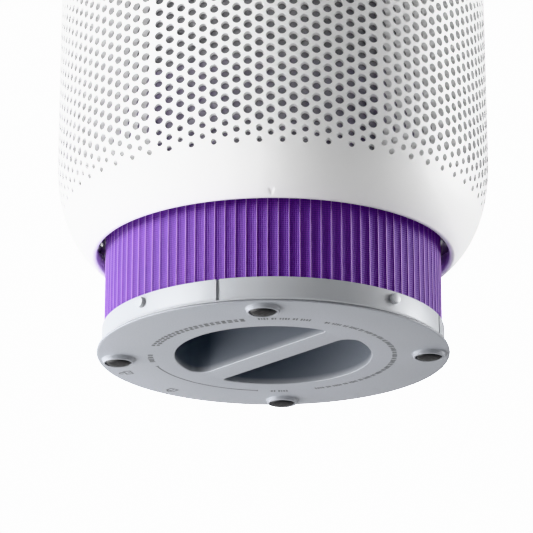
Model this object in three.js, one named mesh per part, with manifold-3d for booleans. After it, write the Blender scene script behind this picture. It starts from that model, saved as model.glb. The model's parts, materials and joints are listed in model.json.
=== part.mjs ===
// A round tabletop air purifier with its filter cartridge drawn part of the way out of the bottom.
// Millimetres, +Z up. The origin is on the floor under the centre of the rubber feet.
// The cartridge slides up into the casing, and its base then turns on four pins to lock.

import * as THREE from 'three';
import { mergeVertices } from 'three/addons/utils/BufferGeometryUtils.js';
import Module from 'manifold-3d';

const wasm = await Module();
wasm.setup();

// ---- Driving dimensions ----

const GAP = 0.3; // between pieces that touch
const ROUND = 40; // steps round a large ring
const INNER_ROUND = 24; // steps round a ring inside the casing
const SMALL_ROUND = 12; // steps round a small piece
const FINE_ROUND = 8; // steps round a screw or its hole

const CLOSED_HEIGHT = 360; // floor to top, cartridge locked in
const FOOT_DROP = 2.8; // the rubber feet stand this far below the base
const DRAWN_OUT = 51; // travel left before the base is flush with the lip

// Casing. Its heights start at the lip round the opening.
const CASING_R = 110;
const CASING_HEIGHT = CLOSED_HEIGHT - FOOT_DROP;
const WALL = 2.4;
const LIP_R = 91.2;
const LIP_INNER_R = 89;
const LIP_HEIGHT = 3;
const SHOULDER_HEIGHT = 50; // the curve from the lip to the straight wall ends here
const TOP_EDGE_R = 5;
const TOP_OPENING_R = 104.6;
const INNER_R = CASING_R - WALL;
const LEAD_NOTCH = [-2.8, 2.8]; // sideways extent of the notches that the mains lead runs through
const SCREW_HOLE_R = 1.6; // clearance hole for a 1.2 mm shank
const SCREW_SHANK_R = 1.2;

// Catch ring that the base's pins lock over.
const RING_R = 86.8;
const RING_TOP = 6.4;
const RING_BOTTOM_R = 90.9; // the ring's outer edge follows the slope of the casing's shoulder
const RING_TOP_R = 93.6;
const ENTRY_WIDTH = 6;
const LOCK_TURN = 28;
const STOP_WIDTH = 3;
const STOP_HEIGHT = 4.5; // above the ring

// Bulkhead between the filter chamber and the fan, and the ledge that it sits on.
const LEDGE_TOP = 138.4;
const LEDGE_R = 97;
const LEDGE_EDGE = 2.2; // thickness at its inner edge
const LEDGE_ROOT = 5; // thickness at the wall
const BULKHEAD_R = 104;
const BULKHEAD_TOP = 141.7;
const BULKHEAD_SCREW_R = 101;
const GUARD_RINGS = [60, 33]; // middle radii of the guard's two rings
const GUARD_BAR = 2.6;
const INLET_R = 50.5;

// Fan, from its shroud up to the outlet.
const DUCT_R = 93;
const DUCT_TOP = 349;
const FAN_R = 78;
const FAN_EYE_R = 51.5;
const FAN_BOTTOM = 151.5;
const FAN_TOP = 192;
const BLADES = 7;
const VANES = 7;
const SHAFT_R = 3;
const VANE_MIDDLE = 230; // middle height of the diffuser's vanes
const VANE_LEAN = 22; // degrees
const MOUNT_PLATE = 196; // underside of the plate that carries the motor
const MOUNT_THICKNESS = 2.5;
const HUB_R = 58;
const HUB_TOP = 262;
const MOTOR_R = 24;
const MOTOR_BOTTOM = 201;
const MOTOR_TOP = 229;
const MOTOR_SCREW_R = 18;
const MOTOR_HOLE_R = 1.9;
const BEARING_R = 8;
const BEARING_SEAT_R = 8.3;
const BEARING_WALL_R = 10.5;

// Top.
const DECK_BOTTOM = 350;
const DECK_TOP = 355.2;
const GRILLE_R = 91.2;
const GRILLE_FINS = 14;
const FIN_THICKNESS = 1.4;
const MIDDLE_RING_R = 64;
const POD_R = 37.9;
const POD_BOTTOM = 343;
const POD_TOP = 354.4;
const LENS_TOP = 356.8;
const BUTTON_R = 7.8;
const BUTTON_FLANGE_R = 9.6;
const BOARD_BOTTOM = 347; // underside of the display board
const BOARD_THICKNESS = 1.6;

// Power inlet, low on the back.
const INLET_HALF_WIDTH = 11.3;
const INLET_BOTTOM = 15.5;
const INLET_TOP = 26.5;
const INLET_FACE = 101.5;
const INLET_BACK = 88.8;
const INLET_PIN_X = 4.3;

// Cartridge. Its heights start at the flat underside of the base.
const BASE_TURN = -3.5; // how the base is turned in this pose, in degrees
const BASE_R = 88.3;
const BASE_THICKNESS = 2.6;
const RIM_TOP = 0.8; // top of the base's thin rim, which the band's skirt hangs down to
const LAP_R = 84.3; // radius of the base inside that skirt
const BAND_R = 85.9;
const BAND_INNER_R = 83.8;
const BAND_TOP = 13.3;
const PIN_HEIGHT = 9.35;
const PIN_R = 2.6;
const PIN_REACH = 87.9;
const PIN_TURN = 46; // from the feet
const FOOT_CIRCLE_R = 77.7;
const FOOT_R = 6.5;
const FOOT_BOSS = 2.2; // how far the boss round a foot stands down
const LEDGE_INNER_R = 71.5; // inner edge of the band's flange, which lies on the base
const SLOT_HALF_WIDTH = 0.85;
const SLOT_FLOOR_R = 84.6;
const SLOT_TURN = -14.3;
const GRIP_R = 49.2;
const GRIP_HALF_BAR = 7.2;
const GRIP_DEPTH = 22;
const GRIP_WALL = 2;
const GRIP_TURN = -45.5; // direction of the grip bar
const GRIP_SHARP = 2.5; // fillet at one end of each pocket
const GRIP_BROAD = 7; // fillet at its other end

// Filter.
const PLEATS = 103;
const PLEAT_R = 84.7;
const MEDIA_TURN = -90 + 180 / PLEATS; // a groove faces the front
const PLEAT_DEPTH = 3; // the solid shows only the tips of the folds
const MEDIA_INNER_R = 59;
const SLEEVE_R = 58;
const CORE_R = 54.2;
const CORE_BORE_R = 52.4;
const MEDIA_BOTTOM = 13.6;
const MEDIA_TOP = 128;
const FILTER_CAP_TOP = 133;
const GASKET_TOP = 138;

// ---- Materials ----

const finish = (color, roughness, metalness = 0) =>
  new THREE.MeshStandardMaterial({ color, roughness, metalness });

const WHITE = finish(0xf1f1f0, 0.5);
const BASE_GREY = finish(0xb9bdc4, 0.45);
const BAND_WHITE = finish(0xc3c7ce, 0.45);
const RUBBER = finish(0x1d1e20, 0.8);
const MEDIA = finish(0x6a35a8, 0.9);
const FILTER_CAP = finish(0x6f7076, 0.6);
const BUTTON = finish(0xe4e2e8, 0.6);
const FOAM = finish(0x4a4a4e, 0.95);
const CARBON = finish(0x242426, 0.95);
const DARK = finish(0x3a3b3e, 0.6);
const FAN = finish(0x55575b, 0.5);
const STEEL = finish(0xb4b6ba, 0.35, 0.9);
const BOARD = finish(0x2b5a3c, 0.6);
const COMPONENT = finish(0x2a2a2d, 0.5);
const LENS = finish(0x111214, 0.12);
const COPPER = finish(0xb0713f, 0.4, 0.8);

// ---- Solids: making, joining and cutting ----

// Keeps only positions, merges shared vertices, drops empty triangles and turns faces outward.
function weld(geometry) {
  const bare = geometry.clone();
  bare.deleteAttribute('normal');
  bare.deleteAttribute('uv');
  const merged = mergeVertices(bare, 1e-4);
  const position = merged.getAttribute('position');
  const source = merged.index.array;
  const kept = [];
  const a = new THREE.Vector3();
  const b = new THREE.Vector3();
  const c = new THREE.Vector3();
  let volume = 0;
  for (let i = 0; i < source.length; i += 3) {
    const [p, q, r] = [source[i], source[i + 1], source[i + 2]];
    if (p === q || q === r || r === p) continue;
    a.fromBufferAttribute(position, p);
    b.fromBufferAttribute(position, q);
    c.fromBufferAttribute(position, r);
    volume += a.dot(b.cross(c));
    kept.push(p, q, r);
  }
  merged.setIndex(volume < 0 ? kept.reverse() : kept);
  return merged;
}

function toManifold(geometry) {
  const welded = weld(geometry);
  const vertProperties = new Float32Array(welded.getAttribute('position').array);
  const triVerts = new Uint32Array(welded.index.array);
  return new wasm.Manifold(new wasm.Mesh({ numProp: 3, vertProperties, triVerts }));
}

function fromManifold(manifold) {
  const mesh = manifold.getMesh();
  const geometry = new THREE.BufferGeometry();
  geometry.setAttribute('position', new THREE.BufferAttribute(mesh.vertProperties, 3));
  geometry.setIndex(new THREE.BufferAttribute(mesh.triVerts, 1));
  return geometry;
}

const join = (first, ...others) =>
  fromManifold(others.reduce((whole, g) => whole.add(toManifold(g)), toManifold(first)));

const cut = (body, ...tools) =>
  fromManifold(tools.reduce((whole, g) => whole.subtract(toManifold(g)), toManifold(body)));

const overlap = (a, b) => fromManifold(toManifold(a).intersect(toManifold(b)));

// Spins an outline of [radius, height] pairs about Z. It closes on itself or ends on the axis.
function revolve(outline, steps = ROUND) {
  const points = outline.map(([r, z]) => new THREE.Vector2(r, z));
  if (outline[0][0] > 0) points.push(points[0].clone());
  return new THREE.LatheGeometry(points, steps).rotateX(Math.PI / 2);
}

const tube = (inner, outer, z0, z1, steps = ROUND) =>
  revolve([[inner, z0], [outer, z0], [outer, z1], [inner, z1]], steps);

const disc = (radius, z0, z1, steps = ROUND) =>
  revolve([[0, z0], [radius, z0], [radius, z1], [0, z1]], steps);

function block([x0, x1], [y0, y1], [z0, z1]) {
  const box = new THREE.BoxGeometry(x1 - x0, y1 - y0, z1 - z0);
  return box.translate((x0 + x1) / 2, (y0 + y1) / 2, (z0 + z1) / 2);
}

const prism = (shape, z0, z1, curveSegments = 12) =>
  new THREE.ExtrudeGeometry(shape, { depth: z1 - z0, bevelEnabled: false, curveSegments })
    .translate(0, 0, z0);

// A round bar along X.
const barX = (radius, x0, x1, steps = SMALL_ROUND) =>
  new THREE.CylinderGeometry(radius, radius, x1 - x0, steps)
    .rotateZ(Math.PI / 2)
    .translate((x0 + x1) / 2, 0, 0);

// A round bar along Y.
const barY = (radius, y0, y1, steps = SMALL_ROUND) =>
  new THREE.CylinderGeometry(radius, radius, y1 - y0, steps).translate(0, (y0 + y1) / 2, 0);

const radians = THREE.MathUtils.degToRad;

// Part of a flat ring, from one angle to another.
function sector(inner, outer, from, to, z0, z1) {
  const shape = new THREE.Shape();
  shape.absarc(0, 0, outer, radians(from), radians(to), false);
  shape.absarc(0, 0, inner, radians(to), radians(from), true);
  shape.closePath();
  return prism(shape, z0, z1);
}

const turned = (geometry, degrees) => geometry.clone().rotateZ(radians(degrees));

// Copies of a piece spaced evenly about Z, the first at firstDegrees from +X.
const around = (count, firstDegrees, geometry) =>
  Array.from({ length: count }, (_, i) => turned(geometry, firstDegrees + (i * 360) / count));

// Points along an arc in an outline, from one angle to another.
function arc(centreR, centreZ, radius, from, to, steps) {
  return Array.from({ length: steps + 1 }, (_, i) => {
    const angle = radians(from + ((to - from) * i) / steps);
    return [centreR + radius * Math.cos(angle), centreZ + radius * Math.sin(angle)];
  });
}

function screw(headR, headHeight, shankR, shankLength) {
  // The head's underside is at 0 and the shank hangs below it.
  return revolve(
    [[0, -shankLength], [shankR, -shankLength], [shankR, 0], [headR, 0],
      [headR * 0.8, headHeight], [0, headHeight]],
    FINE_ROUND,
  );
}

// ---- Scene graph ----

const purifier = new THREE.Group();
const upper = new THREE.Group();
const cartridge = new THREE.Group();
const base = new THREE.Group();
upper.position.z = FOOT_DROP + DRAWN_OUT;
cartridge.position.z = FOOT_DROP;
base.rotation.z = radians(BASE_TURN);
cartridge.add(base);
purifier.add(upper, cartridge);

function place(group, name, geometry, material) {
  const solid = weld(geometry);
  solid.computeVertexNormals();
  const mesh = new THREE.Mesh(solid, material);
  mesh.name = name;
  group.add(mesh);
}

// ---- Casing ----

const shoulder = new THREE.CubicBezierCurve(
  new THREE.Vector2(LIP_R, 0),
  new THREE.Vector2(LIP_R + 7, 5.3),
  new THREE.Vector2(CASING_R, 20),
  new THREE.Vector2(CASING_R, SHOULDER_HEIGHT),
);

function shoulderOutline(inset, steps) {
  return Array.from({ length: steps + 1 }, (_, i) => {
    const point = shoulder.getPoint(i / steps);
    const along = shoulder.getTangent(i / steps);
    return [point.x - along.y * inset, point.y + along.x * inset];
  });
}

const LEDGE_BOSS = { radius: 3.6, bottom: 127, hole: 1.5, holeBottom: 129 };

function casing() {
  const edgeR = CASING_R - TOP_EDGE_R;
  const edgeZ = CASING_HEIGHT - TOP_EDGE_R;
  const inner = shoulderOutline(WALL, 6).filter(([, z]) => z > LIP_HEIGHT + 1);
  const shell = revolve([
    ...shoulderOutline(0, 7),
    ...arc(edgeR, edgeZ, TOP_EDGE_R, 0, 90, 3),
    [TOP_OPENING_R, CASING_HEIGHT],
    [TOP_OPENING_R, CASING_HEIGHT - WALL],
    ...arc(edgeR, edgeZ, TOP_EDGE_R - WALL, 90, 0, 2),
    [INNER_R, LEDGE_TOP], [LEDGE_R, LEDGE_TOP], [LEDGE_R, LEDGE_TOP - LEDGE_EDGE],
    [INNER_R, LEDGE_TOP - LEDGE_ROOT],
    ...inner.reverse(),
    [91, LIP_HEIGHT], [LIP_INNER_R, LIP_HEIGHT], [LIP_INNER_R, 1], [LIP_INNER_R + 0.8, 0.2],
  ]);
  const boss = disc(LEDGE_BOSS.radius, LEDGE_BOSS.bottom, LEDGE_TOP - 1, FINE_ROUND)
    .translate(BULKHEAD_SCREW_R, 0, 0);
  const hole = disc(LEDGE_BOSS.hole, LEDGE_BOSS.holeBottom, LEDGE_TOP + 1, FINE_ROUND)
    .translate(BULKHEAD_SCREW_R, 0, 0);
  const inletOpening = block(
    [-INLET_HALF_WIDTH - GAP, INLET_HALF_WIDTH + GAP], [INLET_BACK, CASING_R + 5],
    [INLET_BOTTOM - GAP, INLET_TOP + GAP],
  );
  const leadNotch = block(LEAD_NOTCH, [LEDGE_R - 1, INNER_R - 1.2], [LEDGE_TOP - 7, LEDGE_TOP + 1]);
  return cut(join(shell, ...around(4, 45, boss)), ...around(4, 45, hole), inletOpening, leadNotch);
}

// Four lugs stand in from the ring. Each runs from beside a pin's way in to that pin's stop.
function catchRing() {
  const bottom = LIP_HEIGHT + GAP;
  const ring = revolve([[RING_R + 1.4, bottom], [RING_BOTTOM_R, bottom], [RING_TOP_R, RING_TOP],
    [RING_R, RING_TOP], [RING_R, bottom + 1.3]]);
  const angleOf = (length) => THREE.MathUtils.radToDeg(length / RING_R);
  const firstPin = BASE_TURN + PIN_TURN;
  const stopAt = firstPin + LOCK_TURN + angleOf(PIN_R + GAP) + 0.3;
  const lugEnd = stopAt + angleOf(STOP_WIDTH);
  const nextLug = firstPin + 90 + angleOf(ENTRY_WIDTH / 2);
  const clear = sector(RING_R - 2, LIP_INNER_R, lugEnd, nextLug, 0, RING_TOP + 2);
  const stop = block([RING_R + 0.2, RING_BOTTOM_R + 0.6], [0, STOP_WIDTH],
    [RING_TOP - 1, RING_TOP + STOP_HEIGHT]);
  return join(cut(ring, ...around(4, 0, clear)), ...around(4, stopAt, stop));
}

function inletBody() {
  const body = block([-INLET_HALF_WIDTH, INLET_HALF_WIDTH], [INLET_BACK, INLET_FACE],
    [INLET_BOTTOM, INLET_TOP]);
  const middle = (INLET_BOTTOM + INLET_TOP) / 2;
  const floor = INLET_BACK + 1.7;
  const lobe = barY(3.6, floor, INLET_FACE + 1, 12).translate(INLET_PIN_X, 0, middle);
  const waist = block([-INLET_PIN_X, INLET_PIN_X], [floor, INLET_FACE + 1],
    [middle - 2.9, middle + 2.9]);
  return cut(body, lobe, lobe.clone().translate(-2 * INLET_PIN_X, 0, 0), waist);
}

function inletPin(x) {
  const middle = (INLET_BOTTOM + INLET_TOP) / 2;
  return barY(1.15, INLET_BACK + 2, INLET_FACE - 2.5, FINE_ROUND).translate(x, 0, middle);
}

// The mains lead from the inlet up the inside of the wall to the main board.
function inletLead() {
  const route = new THREE.CatmullRomCurve3([
    new THREE.Vector3(0, 96, INLET_TOP + 0.6),
    new THREE.Vector3(0, 96.2, 31),
    new THREE.Vector3(0, 99, 39),
    new THREE.Vector3(0, 103, 52),
    new THREE.Vector3(0, 103.6, 90),
    new THREE.Vector3(0, 103.6, 150),
    new THREE.Vector3(0, 103.2, 205),
    new THREE.Vector3(0, 99, 222),
    new THREE.Vector3(0, 97.8, 229.5),
  ]);
  const section = new THREE.Shape().absarc(0, 0, 1.9, 0, Math.PI * 2);
  return new THREE.ExtrudeGeometry(section, { steps: 24, curveSegments: 4, extrudePath: route });
}

function buildCasing() {
  place(upper, 'outer_casing', casing(), WHITE);
  place(upper, 'catch_ring', catchRing(), WHITE);
  place(upper, 'power_inlet', inletBody(), DARK);
  place(upper, 'inlet_pin_left', inletPin(-INLET_PIN_X), STEEL);
  place(upper, 'inlet_pin_right', inletPin(INLET_PIN_X), STEEL);
  place(upper, 'inlet_lead', inletLead(), DARK);
}

// ---- Bulkhead and its guard ----

function bulkhead() {
  const bottom = LEDGE_TOP + GAP;
  const plate = revolve([
    [GUARD_RINGS[0] - 2, bottom], [BULKHEAD_R, bottom], [BULKHEAD_R, BULKHEAD_TOP],
    [58.5, BULKHEAD_TOP],
    [53.5, 144], [INLET_R, 150], [INLET_R - 2, 150], [51.5, 143.5], [55.5, 139.8],
  ], INNER_ROUND);
  const hole = disc(SCREW_HOLE_R, bottom - 1, BULKHEAD_TOP + 1, FINE_ROUND)
    .translate(BULKHEAD_SCREW_R, 0, 0);
  const leadNotch = block(LEAD_NOTCH, [BULKHEAD_R - 3, BULKHEAD_R + 2],
    [bottom - 1, BULKHEAD_TOP + 1]);
  return cut(plate, ...around(4, 45, hole), leadNotch);
}

function inletGuard() {
  const bottom = LEDGE_TOP - 2.1;
  const rings = GUARD_RINGS.map((r) =>
    tube(r - GUARD_BAR / 2, r + GUARD_BAR / 2, bottom, LEDGE_TOP, INNER_ROUND));
  const spoke = block([4, GUARD_RINGS[0]], [-1, 1], [bottom, LEDGE_TOP]);
  return join(disc(7, bottom, LEDGE_TOP, SMALL_ROUND), ...rings, ...around(6, 0, spoke));
}

function buildBulkhead() {
  place(upper, 'fan_bulkhead', bulkhead(), DARK);
  place(upper, 'inlet_guard', inletGuard(), DARK);
  const bulkheadScrew = screw(2.8, 1.6, SCREW_SHANK_R, 12)
    .translate(BULKHEAD_SCREW_R, 0, BULKHEAD_TOP + 0.2);
  around(4, 45, bulkheadScrew).forEach((geometry, i) =>
    place(upper, `bulkhead_screw_${i + 1}`, geometry, STEEL));
  const reader = block([65, 79], [-5, 5], [BULKHEAD_TOP + GAP, BULKHEAD_TOP + 1.9]);
  place(upper, 'tag_reader', turned(reader, 180), BOARD);
}

// ---- Fan: duct, diffuser, motor and impeller ----

const duct = () => revolve([
  [DUCT_R - 2, BULKHEAD_TOP + GAP], [97.5, BULKHEAD_TOP + GAP], [97.5, BULKHEAD_TOP + 2.3],
  [DUCT_R, BULKHEAD_TOP + 2.3], [DUCT_R, DUCT_TOP], [DUCT_R - 2, DUCT_TOP],
], INNER_ROUND);

function diffuser() {
  const floor = MOUNT_PLATE + MOUNT_THICKNESS;
  const cup = revolve([
    [6.5, MOUNT_PLATE], [HUB_R, MOUNT_PLATE], [HUB_R, HUB_TOP], [HUB_R - 2, HUB_TOP],
    [HUB_R - 2, floor], [6.5, floor],
  ], INNER_ROUND);
  const [vaneInner, vaneOuter] = [HUB_R - 1, DUCT_R - 4];
  const rim = tube(vaneOuter, DUCT_R - 2.3, VANE_MIDDLE - 22, VANE_MIDDLE + 22, INNER_ROUND);
  const vane = new THREE.BoxGeometry(vaneOuter - vaneInner, 1.8, 38)
    .rotateX(radians(VANE_LEAN))
    .translate((vaneOuter + vaneInner) / 2, 0, VANE_MIDDLE);
  const screwHole = disc(MOTOR_HOLE_R, MOUNT_PLATE - 1, MOUNT_PLATE + 4, FINE_ROUND)
    .translate(MOTOR_SCREW_R, 0, 0);
  return cut(join(cup, rim, ...around(VANES, 0, vane)), ...around(3, 90, screwHole));
}

const motorCover = () => revolve([
  [0, 273.6], [29, 271.6], [48.5, 266], [55.5, HUB_TOP + GAP], [HUB_R, HUB_TOP + GAP],
  [50, 267.8], [30, 273.8], [0, 276],
], INNER_ROUND);

function motorCase() {
  const wall = MOTOR_R - 1.6;
  const can = revolve([
    [BEARING_SEAT_R, MOTOR_BOTTOM], [MOTOR_R, MOTOR_BOTTOM], [MOTOR_R, MOTOR_TOP],
    [wall, MOTOR_TOP], [wall, MOTOR_BOTTOM + 2], [BEARING_WALL_R, MOTOR_BOTTOM + 2],
    [BEARING_WALL_R, MOTOR_BOTTOM + 5], [BEARING_SEAT_R, MOTOR_BOTTOM + 5],
  ], INNER_ROUND);
  const hole = disc(MOTOR_HOLE_R, MOTOR_BOTTOM - 1, MOTOR_BOTTOM + 3, FINE_ROUND)
    .translate(MOTOR_SCREW_R, 0, 0);
  return cut(can, ...around(3, 90, hole));
}

const motorCap = () => revolve([
  [BEARING_SEAT_R, MOTOR_TOP - 3.7], [BEARING_WALL_R, MOTOR_TOP - 3.7],
  [BEARING_WALL_R, MOTOR_TOP + GAP], [MOTOR_R, MOTOR_TOP + GAP],
  [MOTOR_R, MOTOR_TOP + 2.3], [BEARING_SEAT_R, MOTOR_TOP + 2.3],
], INNER_ROUND);

function impeller() {
  const bore = SHAFT_R + 0.15;
  const backplate = revolve([
    [bore, 178], [9, 178], [11, 186], [30, FAN_TOP - 2], [FAN_R, FAN_TOP - 2], [FAN_R, FAN_TOP],
    [bore, FAN_TOP],
  ], INNER_ROUND);
  const shroud = revolve([
    [FAN_EYE_R, FAN_BOTTOM], [FAN_EYE_R + 1.5, FAN_BOTTOM], [FAN_R, FAN_BOTTOM + 6.5],
    [FAN_R, FAN_BOTTOM + 8.1], [FAN_EYE_R, FAN_BOTTOM + 1.6],
  ], INNER_ROUND);
  const space = revolve([
    [FAN_EYE_R - 2, FAN_BOTTOM + 1], [FAN_R, FAN_BOTTOM + 7.4], [FAN_R, FAN_TOP - 1],
    [FAN_EYE_R - 2, FAN_TOP - 1],
  ], INNER_ROUND);
  // Each blade is a backward-leaning arc, thin across and as tall as the wheel.
  const bend = 42;
  const outline = new THREE.Shape();
  outline.absarc(0, 0, bend, 0, radians(48), false);
  outline.absarc(0, 0, bend - 1.6, radians(48), 0, true);
  const blade = prism(outline, FAN_BOTTOM, FAN_TOP, 5)
    .translate(-bend + 0.8, 0, 0)
    .rotateZ(radians(-50))
    .translate(FAN_EYE_R + 1, 0, 0);
  const bladeRing = overlap(join(...around(BLADES, 0, blade)), space);
  return join(backplate, shroud, bladeRing);
}

function hexNut() {
  const corners = Array.from({ length: 6 }, (_, i) =>
    new THREE.Vector2(5.6, 0).rotateAround(new THREE.Vector2(), (i * Math.PI) / 3));
  const hexagon = new THREE.Shape(corners);
  hexagon.holes.push(new THREE.Path().absarc(0, 0, SHAFT_R + 0.15, 0, Math.PI * 2, true));
  return prism(hexagon, 172.6, 177.7, 8);
}

function buildFan() {
  place(upper, 'fan_duct', duct(), DARK);
  place(upper, 'diffuser', diffuser(), DARK);
  place(upper, 'motor_cover', motorCover(), DARK);
  place(upper, 'motor_case', motorCase(), STEEL);
  place(upper, 'motor_cap', motorCap(), STEEL);
  place(upper, 'motor_stator', tube(15.5, MOTOR_R - 1.9, 208, 223, INNER_ROUND), COPPER);
  place(upper, 'lower_bearing', tube(SHAFT_R + 0.08, BEARING_R, MOTOR_BOTTOM + 0.4,
    MOTOR_BOTTOM + 4.6, 24), STEEL);
  place(upper, 'upper_bearing', tube(SHAFT_R + 0.08, BEARING_R, MOTOR_TOP - 3.2,
    MOTOR_TOP + 1.4, 24), STEEL);
  place(upper, 'motor_board', disc(20, MOTOR_TOP + 2.6, MOTOR_TOP + 4.2, 24), BOARD);
  const mountTop = MOUNT_PLATE + MOUNT_THICKNESS;
  const grommet = tube(MOTOR_HOLE_R, 4.5, mountTop + GAP, MOTOR_BOTTOM - GAP, 12)
    .translate(MOTOR_SCREW_R, 0, 0);
  around(3, 90, grommet).forEach((geometry, i) =>
    place(upper, `motor_grommet_${i + 1}`, geometry, RUBBER));
  const motorScrew = screw(3, 1.7, 1.5, 6.8).rotateX(Math.PI)
    .translate(MOTOR_SCREW_R, 0, MOUNT_PLATE - 0.2);
  around(3, 90, motorScrew).forEach((geometry, i) =>
    place(upper, `motor_screw_${i + 1}`, geometry, STEEL));
  place(upper, 'impeller', impeller(), FAN);
  place(upper, 'motor_shaft', disc(SHAFT_R, 171, MOTOR_TOP + 1, 24), STEEL);
  place(upper, 'motor_rotor', tube(SHAFT_R + 0.15, 15, 208.5, 222.5, 24), STEEL);
  place(upper, 'hub_nut', hexNut(), STEEL);
}

// ---- Top: deck, grille, display and button ----

const deck = () => revolve([
  [GRILLE_R + 0.4, DECK_BOTTOM], [TOP_OPENING_R - 0.4, DECK_BOTTOM],
  [TOP_OPENING_R - 0.4, DECK_TOP - 2.2], [TOP_OPENING_R - 1.4, DECK_TOP],
  [GRILLE_R + 2.4, DECK_TOP], [GRILLE_R + 0.4, DECK_TOP - 1.6],
]);

function outletGrille() {
  const [z0, z1] = [DECK_BOTTOM - 0.5, DECK_TOP - 1];
  const half = FIN_THICKNESS / 2;
  const fin = block([POD_R + 1.4, GRILLE_R - 0.6], [-half, half], [z0, z1]);
  const hub = tube(POD_R + 0.4, POD_R + 2.4, z0, z1, INNER_ROUND);
  const middle = tube(MIDDLE_RING_R, MIDDLE_RING_R + FIN_THICKNESS, z0, z1, INNER_ROUND);
  const rim = tube(GRILLE_R - 1.8, GRILLE_R, z0, z1);
  return join(hub, middle, rim, ...around(GRILLE_FINS, 0, fin));
}

function pod() {
  const cup = revolve([
    [0, POD_BOTTOM], [POD_R, POD_BOTTOM], [POD_R, POD_TOP], [POD_R - 2, POD_TOP],
    [POD_R - 2, POD_BOTTOM + 2], [0, POD_BOTTOM + 2],
  ], INNER_ROUND);
  const post = disc(2, POD_BOTTOM + 1, BOARD_BOTTOM - GAP, FINE_ROUND).translate(24, 0, 0);
  return join(cup, ...around(3, 30, post));
}

const lens = () => revolve([
  [BUTTON_R + 0.4, POD_TOP + GAP], [POD_R - 0.4, POD_TOP + GAP], [POD_R - 0.4, LENS_TOP - 0.8],
  [POD_R - 1.2, LENS_TOP],
  [BUTTON_R + 0.4, LENS_TOP],
], INNER_ROUND);

const button = () => revolve([
  [0, POD_TOP - 1.8], [BUTTON_FLANGE_R, POD_TOP - 1.8], [BUTTON_FLANGE_R, POD_TOP - 0.2],
  [BUTTON_R, POD_TOP - 0.2], [BUTTON_R, CASING_HEIGHT - 0.5],
  [BUTTON_R - 0.5, CASING_HEIGHT - 0.1], [0, CASING_HEIGHT - 0.1],
], 24);

function buildTop() {
  place(upper, 'top_deck', deck(), WHITE);
  place(upper, 'outlet_grille', outletGrille(), WHITE);
  place(upper, 'display_pod', pod(), WHITE);
  place(upper, 'display_lens', lens(), LENS);
  place(upper, 'display_board', disc(33, BOARD_BOTTOM, BOARD_BOTTOM + BOARD_THICKNESS, 24), BOARD);
  const switchBottom = BOARD_BOTTOM + BOARD_THICKNESS + GAP;
  place(upper, 'button_switch', block([-3, 3], [-3, 3], [switchBottom, switchBottom + 2.5]),
    COMPONENT);
  place(upper, 'mode_button', button(), BUTTON);
}

// ---- Electronics beside the duct ----

function buildElectronics() {
  place(upper, 'main_board', block([-25, 25], [97, 97 + BOARD_THICKNESS], [230, 310]), BOARD);
  place(upper, 'board_transformer', block([-21, -3], [98.9, 104.5], [240, 262]), COMPONENT);
  place(upper, 'board_capacitor', disc(2.6, 245, 270, 12).translate(12, 101.8, 0), COMPONENT);
  place(upper, 'dust_sensor', block([95.5, 104], [-18, 18], [225, 260]), COMPONENT);
}

// ---- Base of the cartridge ----

// A finger pocket's outline: the part of a disc beyond the bar, with its two corners rounded.
function pocketShape(radius, halfBar, sharp, broad) {
  const shape = new THREE.Shape();
  const corner = (fillet, side) => {
    const y = halfBar + fillet;
    return { x: side * Math.sqrt((radius - fillet) ** 2 - y ** 2), y };
  };
  const left = corner(sharp, -1);
  const right = corner(broad, 1);
  const leftAngle = Math.atan2(left.y, left.x);
  const rightAngle = Math.atan2(right.y, right.x);
  shape.absarc(right.x, right.y, broad, -Math.PI / 2, rightAngle, false);
  shape.absarc(0, 0, radius, rightAngle, leftAngle, false);
  shape.absarc(left.x, left.y, sharp, leftAngle, Math.PI * 1.5, false);
  shape.closePath();
  return shape;
}

function pocketPair(inset, z0, z1) {
  const shape = pocketShape(GRIP_R + inset, GRIP_HALF_BAR - inset, GRIP_SHARP + inset,
    GRIP_BROAD + inset);
  return around(2, GRIP_TURN, prism(shape, z0, z1, 7));
}

function baseCover() {
  const plate = revolve([
    [0, 0], [BASE_R - 0.6, 0], [BASE_R - 0.1, 0.2], [BASE_R, RIM_TOP], [LAP_R, RIM_TOP],
    [LAP_R, BASE_THICKNESS], [0, BASE_THICKNESS],
  ]);
  const boss = revolve([[0, -FOOT_BOSS], [7.2, -FOOT_BOSS], [9, 0.5], [0, 0.5]], SMALL_ROUND)
    .translate(FOOT_CIRCLE_R, 0, 0);
  const footRecess = disc(FOOT_R + GAP, -4, -0.4, SMALL_ROUND).translate(FOOT_CIRCLE_R, 0, 0);
  const headRecess = disc(3.1, -1, 1.5, FINE_ROUND).translate(FOOT_CIRCLE_R, 0, 0);
  const shankHole = disc(SCREW_HOLE_R, 0, 4, FINE_ROUND).translate(FOOT_CIRCLE_R, 0, 0);
  const body = join(plate, ...around(4, 0, boss),
    ...pocketPair(GRIP_WALL, 1, GRIP_DEPTH + GRIP_WALL));
  return cut(body, ...around(4, 0, footRecess), ...around(4, 0, headRecess),
    ...around(4, 0, shankHole), ...pocketPair(0, -1, GRIP_DEPTH));
}

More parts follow.
